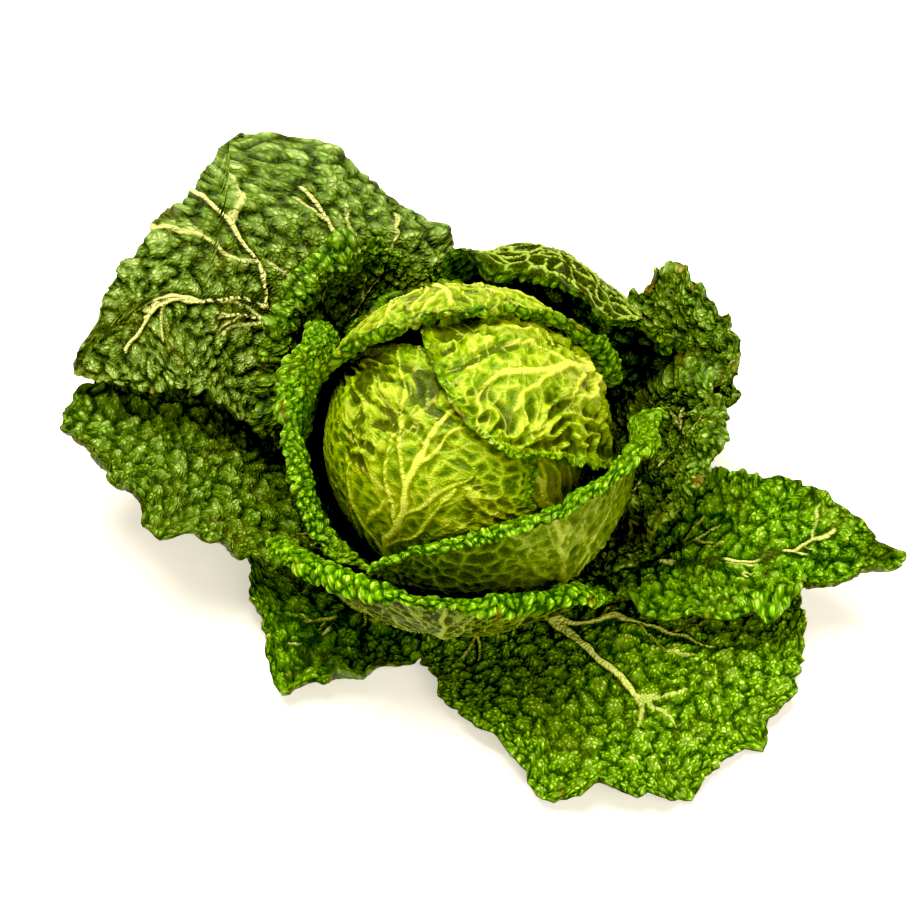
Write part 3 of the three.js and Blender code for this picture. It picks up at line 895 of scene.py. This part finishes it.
LOOKS["dusky"] = dict(
    LOOKS["outer"], upper=[(24, 46, 12), (118, 150, 54), (192, 212, 118)], crumb=0.5, rim=(130, 164, 70),
    painted_base_shade=0.7,
)
# A copy of outer whose painted shade from the base reaches far along the leaf
LOOKS["shaded"] = dict(
    LOOKS["outer"], upper=[(24, 60, 4), (104, 152, 24), (190, 226, 90)], painted_base_shade=0.95,
    painted_shade_until=150,
)
# A darker copy of the wrapper skin with a strong pale net: its near-black under face is painted shade
LOOKS["netted_shaded"] = dict(
    LOOKS["wrapper"], under=[(4, 14, 0), (20, 42, 2), (62, 92, 10)], warm=(34, 50, 4),
    net=(160, 182, 70), vein=(188, 202, 86), net_share=1, beside=0, shine=0.1,
)
# A still darker copy of it for the front wrapper leaf, its veins and net included: painted shade
LOOKS["front"] = dict(
    LOOKS["netted_shaded"], under=[(2, 10, 0), (13, 30, 2), (44, 70, 8)], net=(112, 134, 44),
    vein=(150, 168, 64),
)


def linear(red, green, blue):
    """A shader colour from screen values of 0 to 255."""
    channels = [value / 255 for value in (red, green, blue)]
    return tuple([c / 12.92 if c <= 0.04045 else ((c + 0.055) / 1.055) ** 2.4 for c in channels] + [1])


def set_inputs(tree, node, inputs):
    """Links or sets a node's inputs by name or number."""
    for key, value in inputs.items():
        if isinstance(value, bpy.types.NodeSocket):
            tree.links.new(value, node.inputs[key])
        else:
            node.inputs[key].default_value = value


def add_node(tree, kind, inputs, **settings):
    """Adds a node with its settings and inputs."""
    made = tree.nodes.new("ShaderNode" + kind)
    for key, value in settings.items():
        setattr(made, key, value)
    set_inputs(tree, made, inputs)
    return made


def calc(tree, operation, a, b=0, clamp=False):
    """An operation on two values."""
    return add_node(tree, "Math", {0: a, 1: b}, operation=operation, use_clamp=clamp).outputs[0]


def times(tree, first, *others):
    """The product of values."""
    for other in others:
        first = calc(tree, "MULTIPLY", first, other)
    return first


def mix(tree, share, a, b):
    """A value that goes from a to b with the share."""
    return add_node(tree, "Mix", {0: share, 2: a, 3: b}, data_type="FLOAT").outputs[0]


def mix_colour(tree, share, a, b):
    """A colour that goes from a to b with the share."""
    return add_node(tree, "Mix", {0: share, 6: a, 7: b}, data_type="RGBA").outputs[2]


def remap(tree, value, low, high, to_low=0, to_high=1):
    """Maps low..high to to_low..to_high smoothly, and clamps."""
    inputs = {"Value": value, "From Min": low, "From Max": high, "To Min": to_low, "To Max": to_high}
    return add_node(tree, "MapRange", inputs, interpolation_type="SMOOTHSTEP").outputs[0]


def noise(tree, place, scale, layers=2, roughness=0.5):
    """Soft random values over places, scale to the millimetre."""
    inputs = {"Vector": place, "Scale": scale, "Detail": layers, "Roughness": roughness}
    return add_node(tree, "TexNoise", inputs).outputs[0]


def cell_borders(tree, place, scale):
    """The distance to the borders of random cells, scale to the millimetre."""
    inputs = {"Vector": place, "Scale": scale, "Randomness": 1}
    return add_node(tree, "TexVoronoi", inputs, feature="DISTANCE_TO_EDGE").outputs[0]


def split_attribute(tree, name):
    """The four values of an attribute."""
    attribute = add_node(tree, "Attribute", {}, attribute_name=name)
    parts = add_node(tree, "SeparateColor", {0: attribute.outputs["Color"]})
    return [*parts.outputs[:3], attribute.outputs["Alpha"]]


def ramp(tree, value, stops):
    """Colours along a value, given as (position, screen colour)."""
    made = add_node(tree, "ValToRGB", {0: value})
    elements = made.color_ramp.elements
    while len(elements) < len(stops):
        elements.new(0.5)
    for element, (position, colour) in zip(elements, stops):
        element.position = position
        element.color = linear(*colour)
    return made.outputs[0]


def paint(tree, colour, layers):
    """Lays screen colours over a colour, each with its share."""
    for share, over in layers:
        colour = mix_colour(tree, share, colour, linear(*over))
    return colour


def new_material(name):
    """A new material and its node tree."""
    material = bpy.data.materials.new(name)
    material.use_nodes = True
    return material, material.node_tree


def flat_places(tree):
    """Places on the flat leaf, in millimetres."""
    return add_node(tree, "Attribute", {}, attribute_name="flat").outputs["Vector"]


def set_surface(tree, colour, roughness, bump_height, bump_strength, soft, shine):
    """Sets what the shader of a plant skin takes."""
    bump = add_node(tree, "Bump", {"Height": bump_height, "Strength": bump_strength, "Distance": BUMP_DEPTH})
    set_inputs(tree, tree.nodes["Principled BSDF"], {
        "Base Color": colour, "Normal": bump.outputs[0], "Roughness": roughness, "Specular IOR Level": shine,
        "Subsurface Weight": soft, "Subsurface Radius": GLOW_RADIUS, "Subsurface Scale": GLOW_SCALE,
    })


def leaf_material(name):
    """Leaf skin: pits darkened as painted shade, puckers lightened partly as painted light, pale veins and a
    fine net.
    """
    look = LOOKS[name]
    material, tree = new_material("savoy_" + name)
    flat = flat_places(tree)
    level, line, rim, side = split_attribute(tree, "detail")
    main, fine, fold, clear_veins = split_attribute(tree, "veins")
    patches = noise(tree, flat, 0.03, 3)
    mottle = noise(tree, flat, 0.2, 3, 0.6)
    cell_line = remap(tree, cell_borders(tree, flat, 0.5), 0.02, 0.16, 1, 0)
    crumb = remap(tree, cell_borders(tree, flat, 0.42), 0, 0.3)

    # On the under face the puckers are hollows, and the net of veins between them stands out
    veiny = times(tree, side, remap(tree, rim, 0.5, 0.95, 1, 0))
    hollow = calc(tree, "SUBTRACT", 1, level)
    raised = mix(tree, veiny, level, times(tree, hollow, hollow))
    uneven = times(tree, calc(tree, "SUBTRACT", mottle, 0.5), 0.5)
    shade = calc(tree, "ADD", raised, uneven, clamp=True)
    # The face colours run from the pits, darkened as painted shade, to the tops, lightened partly as painted
    # light
    faces = [ramp(tree, shade, list(zip((0.15, 0.5, 0.9), look[face]))) for face in ("upper", "under")]
    along = add_node(tree, "SeparateXYZ", {0: flat}).outputs["Y"]
    net_share = mix(tree, veiny, 0, look["net_share"])
    shown = mix(tree, clear_veins, remap(tree, noise(tree, flat, 0.045), 0.5, 0.58), 1)
    shown = times(tree, shown, mix(tree, veiny, look["upper_veins"], 1))
    # Painted shade in a band beside the main veins, in the under face's darkest colour
    beside = times(tree, remap(tree, main, 0.2, 1), remap(tree, main, 1.4, 4, look["beside"], 0), shown)
    dry = remap(tree, noise(tree, flat, 0.09), 0.62, 0.7, 0, 0.45)
    # Painted shade in the creases between the fine crumb cells, as strong as the look's crumb value
    painted_crevice_shade = times(tree, calc(tree, "SUBTRACT", 1, crumb), mix(tree, veiny, look["crumb"], 0))
    colour = paint(tree, mix_colour(tree, side, *faces), [
        # Painted shade: the shade colour laid over the leaf, strongest at its base and fading out along it
        (remap(tree, along, 20, look["painted_shade_until"], look["painted_base_shade"], 0), look["painted_shade"]),
        (times(tree, remap(tree, patches, 0.45, 0.75), 0.4), look["warm"]),
        (times(tree, rim, look["rim_share"], remap(tree, raised, 0.2, 0.7)), look["rim"]),
        # Painted shade in the crumb creases
        (painted_crevice_shade, look["painted_shade"]),
        (times(tree, remap(tree, line, 0.3, 0.9), net_share), look["net"]),
        (times(tree, cell_line, mix(tree, veiny, 0, 0.1)), look["net"]),
        (remap(tree, fold, 0.55, 0.95, 0, 0.7), look["net"]),
        # Painted shade in the creases of the folds
        (remap(tree, fold, 0, 0.3, 0.8, 0), look["painted_shade"]),
        # Painted shade beside the main veins
        (beside, look["under"][0]),
        (times(tree, remap(tree, fine, -0.3, 0.6, 0.55, 0), shown), look["vein"]),
        (times(tree, remap(tree, main, -0.4, 0.6, 1, 0), shown), look["vein"]),
        (times(tree, remap(tree, rim, 0.86, 1), dry), BROWNED),
    ])

    crumb_height = times(tree, crumb, mix(tree, veiny, 1.2, 0))
    line_height = times(tree, cell_line, mix(tree, veiny, 0, 0.7))
    grain = times(tree, noise(tree, flat, 1.3, 3, 0.6), 0.5)
    bump_height = calc(tree, "ADD", calc(tree, "ADD", crumb_height, line_height), grain)
    roughness = mix(tree, mottle, look["roughness"] - 0.08, look["roughness"] + 0.16)
    set_surface(tree, colour, roughness, bump_height, look["bump"], 0.1, look["shine"])
    return material


def stem_material():
    """Cut stem: cream, with fibres up its side and darker rings on its faces."""
    material, tree = new_material("savoy_stem")
    flat = flat_places(tree)
    stretched = add_node(tree, "VectorMath", {0: flat, 1: (1, 1, 0.12)}, operation="MULTIPLY")
    fibres = noise(tree, stretched.outputs[0], 1.1, 3, 0.6)
    blotches = noise(tree, flat, 0.12, 3)
    length = add_node(tree, "VectorMath", {0: flat}, operation="LENGTH").outputs["Value"]
    ring = calc(tree, "SINE", times(tree, length, 2.2))
    colour = paint(tree, ramp(tree, fibres, STEM_FIBRES), [
        (remap(tree, blotches, 0.5, 0.75, 0, 0.6), STEM_BLOTCH),
        (remap(tree, ring, 0.4, 1, 0, 0.15), STEM_RING),
    ])
    set_surface(tree, colour, mix(tree, fibres, 0.5, 0.75), fibres, 0.8, 0.05, SKIN["shine"])
    return material


# The floor, the light and the camera

FLOOR_SIZE = 12
FLOOR_SKIN = {
    "Base Color": (0.86, 0.80, 0.72, 1), "Roughness": 0.8, "Specular IOR Level": 0.1,
    "Emission Color": (1, 0.93, 0.82, 1), "Emission Strength": FLOOR_GLOW,
}
WORLD_COLOUR = (1, 0.97, 0.88, 1)
LIGHT_SIZE, LIGHT_AIM = 0.8, Vector((0, -0.02, 0.08))
LIGHTS = [("key", (-0.14, 0.08, 1.35), 32, (1, 0.98, 0.92)), ("fill", (0.55, -1, 0.95), 8, (1, 0.98, 0.94))]
BLACK_LEVEL, WHITE_LEVEL = (0.006, 0.010, 0.020), (0.92, 0.92, 0.92)
CAMERA_TILT, CAMERA_DISTANCE, CAMERA_LENS = 50, 1.086, 85
AIM_LEFT, AIM_DOWN = 0.001, 0.010


def make_stage():
    """A pale floor that glows faintly, so that its shadows stay soft."""
    bpy.ops.mesh.primitive_plane_add(size=FLOOR_SIZE, location=(0, 0, cad_box[0].z))
    floor = bpy.context.object
    floor.name = "floor"
    material, tree = new_material("floor")
    set_inputs(tree, tree.nodes["Principled BSDF"], FLOOR_SKIN)
    floor.data.materials.append(material)


def make_light():
    """A soft light overhead, a weak one from the front and a faint studio all round."""
    for name, place, power, colour in LIGHTS:
        data = bpy.data.lights.new(name, "AREA")
        data.size = LIGHT_SIZE
        data.energy = power
        data.color = colour
        light = new_object(name, data)
        light.location = place
        light.rotation_euler = (LIGHT_AIM - Vector(place)).to_track_quat("-Z", "Y").to_euler()
    world = bpy.data.worlds.new("studio")
    bpy.context.scene.world = world
    world.use_nodes = True
    sky = {"Color": WORLD_COLOUR, "Strength": WORLD_LIGHT}
    set_inputs(world.node_tree, world.node_tree.nodes["Background"], sky)
    view = bpy.context.scene.view_settings
    view.view_transform = "Standard"
    view.use_curve_mapping = True
    view.curve_mapping.black_level = BLACK_LEVEL
    view.curve_mapping.white_level = WHITE_LEVEL


def make_camera():
    """A viewpoint 50 degrees above the horizon that looks along +Y at the heart."""
    tilt = math.radians(CAMERA_TILT)
    up = Vector((0, math.sin(tilt), math.cos(tilt)))
    back = Vector((0, -math.cos(tilt), math.sin(tilt)))
    aim = (heart_low + heart_high) / 2 - Vector((AIM_LEFT, 0, 0)) - up * AIM_DOWN
    data = bpy.data.cameras.new("camera")
    data.lens = CAMERA_LENS
    data.sensor_width = 36
    data.clip_start, data.clip_end = 0.05, 50
    camera = new_object("camera", data)
    camera.location = aim + back * CAMERA_DISTANCE
    camera.rotation_euler = (-back).to_track_quat("-Z", "Y").to_euler()
    bpy.context.scene.camera = camera


MATERIALS = {name: leaf_material(name) for name in LOOKS}
MATERIALS["stem"] = stem_material()
make_camera()
make_light()
make_stage()
make_heart()
make_stem()
for number, leaf in enumerate(LEAVES):
    make_leaf(leaf, 100 * number + 7)
